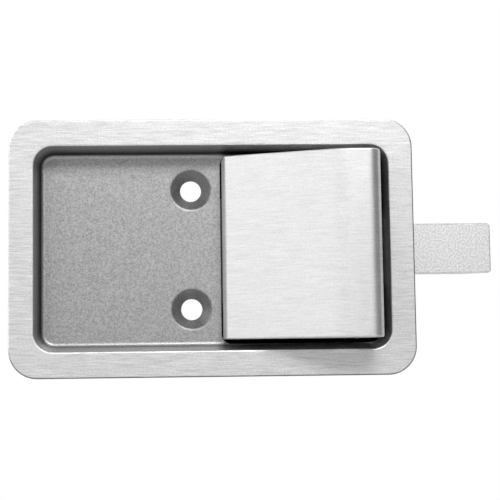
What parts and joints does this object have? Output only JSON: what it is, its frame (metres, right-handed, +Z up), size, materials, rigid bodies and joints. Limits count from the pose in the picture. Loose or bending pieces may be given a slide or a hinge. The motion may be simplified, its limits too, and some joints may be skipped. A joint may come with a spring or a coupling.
{
  "type": "flush paddle latch",
  "caption": "Flush push-paddle latch: a dished rectangular face plate, a raised sprung paddle and a flat slide bolt that the paddle draws in.",
  "frame": {"origin": "centre of the face flange, on its back face, which seats on the door panel", "axes": "+X towards the bolt's nose, +Y into the door, +Z up"},
  "size_m": [0.1456, 0.0445, 0.0764],
  "materials": {
    "pan_steel": "stainless sheet, fine horizontal brushing on the face flange, matte floor",
    "paddle_steel": "stainless sheet, fine horizontal brushing",
    "bolt_steel": "stainless bar, dull mill finish",
    "case_steel": "zinc plated sheet steel, satin",
    "bracket_steel": "zinc plated sheet steel, satin",
    "pin_steel": "bright ground steel",
    "screw_steel": "zinc plated",
    "clip_steel": "phosphated spring steel",
    "spring_steel": "spring wire",
    "washer_nylon": "natural nylon",
    "guide_nylon": "black moulded nylon",
    "bumper_rubber": "black rubber"
  },
  "bodies": {
    "frame": {"pan": "pan_steel", "case": "case_steel", "back_cover": "case_steel", "cover_screws": "screw_steel", "pivot_bracket": "bracket_steel", "bracket_rivets": "pin_steel", "pivot_pin": "pin_steel", "pivot_clips": "clip_steel", "pivot_washers": "washer_nylon", "torsion_spring": "spring_steel", "bolt_guide": "guide_nylon", "guide_rivets": "pin_steel", "bolt_bumper": "bumper_rubber", "bolt_spring": "spring_steel"},
    "paddle": {"paddle": "paddle_steel", "cam_bracket": "bracket_steel"},
    "bolt": {"bolt": "bolt_steel", "drive_pin": "pin_steel", "guide_rod": "pin_steel", "spring_washer": "pin_steel"}
  },
  "joints": [
    {"name": "paddle_push", "type": "hinge", "parent": "frame", "child": "paddle", "pos_m": [0.009, 0.0025, 0], "axis": [0, 0, 1], "range_deg": [0, 20], "stiffness_Nm_per_rad": 0.65, "springref_deg": -18.91, "deforming": ["torsion_spring"]},
    {"name": "bolt_slide", "type": "slide", "parent": "frame", "child": "bolt", "axis": [-1, 0, 0], "range_m": [0, 0.011], "deforming": ["bolt_spring"]}
  ],
  "couplings": [
    {"joint": "paddle_push", "follows": "bolt_slide", "rad_per_m": 31.732}
  ]
}
